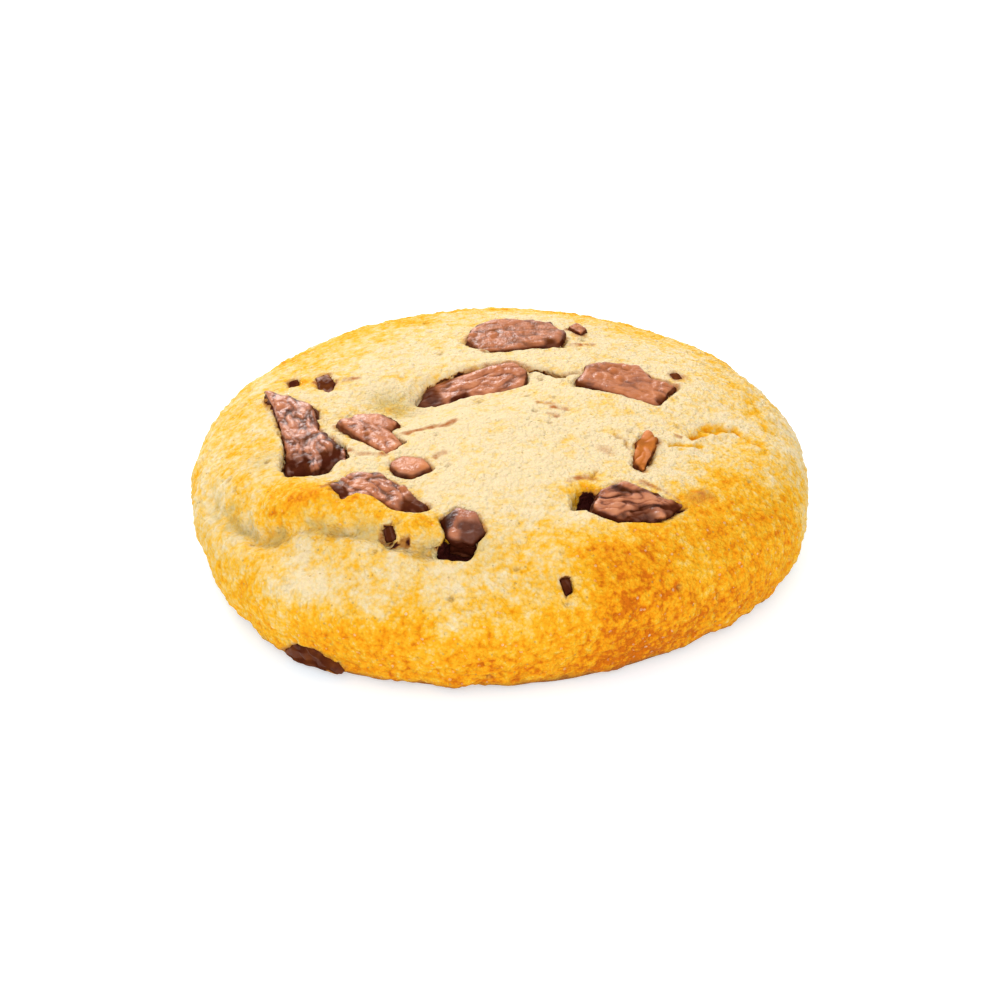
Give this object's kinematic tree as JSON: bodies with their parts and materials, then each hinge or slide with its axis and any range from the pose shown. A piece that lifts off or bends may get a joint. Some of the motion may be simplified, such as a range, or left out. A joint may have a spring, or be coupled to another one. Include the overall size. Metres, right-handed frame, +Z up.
{
  "type": "chocolate chunk cookie",
  "caption": "Thick round soft-baked cookie of pale golden dough with broken chocolate chunks set in pockets on top and at the rim.",
  "frame": {"origin": "on the flat base, under the middle of the cookie's bounding box", "axes": "+Z up out of the base, -Y the front that most chunks lean towards, +X to the right"},
  "size_m": [0.0849, 0.0852, 0.0214],
  "materials": {
    "dough": "matte, finely crumbed, pale cream on top to golden orange where toasted",
    "chocolate": "satin milk chocolate with a faint purplish sheen, melted edges and small blisters"
  },
  "bodies": {
    "root": {"dough": "dough", "chunk_back": "chocolate", "chunk_middle": "chocolate", "chunk_right": "chocolate", "chunk_left": "chocolate", "chunk_petal": "chocolate", "chunk_small": "chocolate", "chunk_left_front": "chocolate", "chunk_left_end": "chocolate", "chunk_front_right": "chocolate", "sliver_right": "chocolate", "chunk_rim_front_left": "chocolate", "chunk_rim_back_right": "chocolate", "chunk_rim_back_left": "chocolate", "fleck_back": "chocolate", "fleck_right": "chocolate", "fleck_left_back": "chocolate", "fleck_far_left": "chocolate", "fleck_low_left": "chocolate", "fleck_front": "chocolate"}
  },
  "joints": []
}
